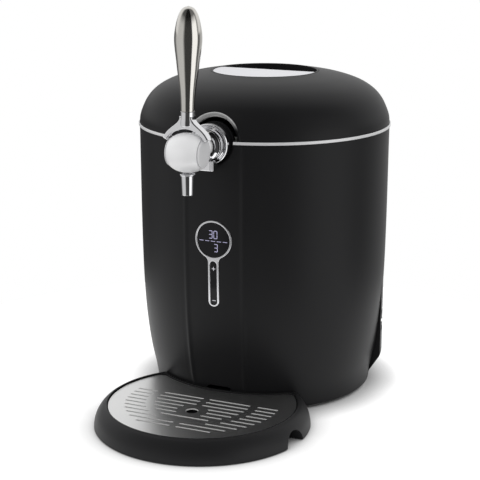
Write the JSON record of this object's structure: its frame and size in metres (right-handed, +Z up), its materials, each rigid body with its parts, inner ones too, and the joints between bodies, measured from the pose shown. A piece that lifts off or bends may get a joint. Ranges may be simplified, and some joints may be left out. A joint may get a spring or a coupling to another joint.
{
  "type": "mini keg beer dispenser",
  "caption": "Table-top mini keg cooler with a barrel-shaped insulated body, a hinged lid with a grip recess, a lever tap, a round temperature display and a slide-in drip tray.",
  "frame": {"origin": "middle of the footprint on the table, the bounding box's bottom centre", "axes": "+Z up; the tap, display and drip tray face -Y; +X is to the viewer's right"},
  "size_m": [0.2714, 0.419, 0.4272],
  "materials": {
    "body_plastic": "satin moulded black",
    "tray_plastic": "satin moulded black",
    "inner_plastic": "plain moulded black",
    "tap_chrome": "polished",
    "handle_nickel": "satin nickel",
    "plate_steel": "brushed",
    "bezel_silver": "bright silver",
    "dark_glass": "gloss black window",
    "aluminium": "plain",
    "foam": "rigid foam",
    "rubber": "matte",
    "ceramic": "plain",
    "circuit_board": "lacquered board",
    "hose": "clear hose",
    "zinc_steel": "zinc plated"
  },
  "bodies": {
    "barrel": {"body_shell": "body_plastic", "rear_cover": "body_plastic", "hinge_bracket": "body_plastic", "tap_bracket": "body_plastic", "base_plate": "inner_plastic", "top_deck": "inner_plastic", "display_carrier": "inner_plastic", "fan_frame": "inner_plastic", "power_supply": "inner_plastic", "power_inlet": "inner_plastic", "keg_connector": "inner_plastic", "connector_clip": "inner_plastic", "trim_ring": "tap_chrome", "tap_body": "tap_chrome", "collar_nut": "tap_chrome", "wall_flange": "tap_chrome", "collar_lug": "tap_chrome", "tap_shank": "tap_chrome", "lock_nut": "tap_chrome", "spout_collar": "tap_chrome", "spout": "tap_chrome", "shank_elbow": "tap_chrome", "display_bezel": "bezel_silver", "display_glass": "dark_glass", "touch_strip": "dark_glass", "chamber_liner": "aluminium", "cold_plate": "aluminium", "heat_sink": "aluminium", "chamber_insulation": "foam", "floor_insulation": "foam", "foot_front_left": "rubber", "foot_front_right": "rubber", "foot_rear_left": "rubber", "foot_rear_right": "rubber", "lid_seal": "rubber", "peltier_module": "ceramic", "control_board": "circuit_board", "beer_line": "hose", "base_screw_1": "zinc_steel", "base_screw_2": "zinc_steel", "base_screw_3": "zinc_steel", "base_screw_4": "zinc_steel", "hinge_pin": "zinc_steel"},
    "lid": {"lid_shell": "body_plastic", "lid_tap_surround": "body_plastic", "lid_liner": "inner_plastic", "recess_cup": "body_plastic", "grip_plate": "plate_steel", "lid_hinge_leaf": "body_plastic"},
    "lever": {"lever_fork": "tap_chrome", "handle_grip": "handle_nickel", "valve_core": "tap_chrome"},
    "tray": {"drip_tray": "tray_plastic"},
    "tray_plate": {"drip_plate": "plate_steel"},
    "fan": {"fan_rotor": "inner_plastic"}
  },
  "joints": [
    {"name": "lid_hinge", "type": "hinge", "parent": "barrel", "child": "lid", "pos_m": [0, 0.20445, 0.2892], "axis": [-1, 0, 0], "range_deg": [0, 80]},
    {"name": "lever_turn", "type": "hinge", "parent": "barrel", "child": "lever", "pos_m": [0, -0.12755, 0.2881], "axis": [1, 0, 0], "range_deg": [0, 70]},
    {"name": "tray_slide", "type": "slide", "parent": "barrel", "child": "tray", "axis": [0, -1, 0], "range_m": [0, 0.12]},
    {"name": "plate_lift", "type": "slide", "parent": "tray", "child": "tray_plate", "axis": [0, -0.2149, 0.9766], "range_m": [0, 0.05]},
    {"name": "fan_spin", "type": "hinge", "parent": "barrel", "child": "fan", "pos_m": [0, 0.1788, 0.0735], "axis": [0, 1, 0], "continuous": true}
  ]
}
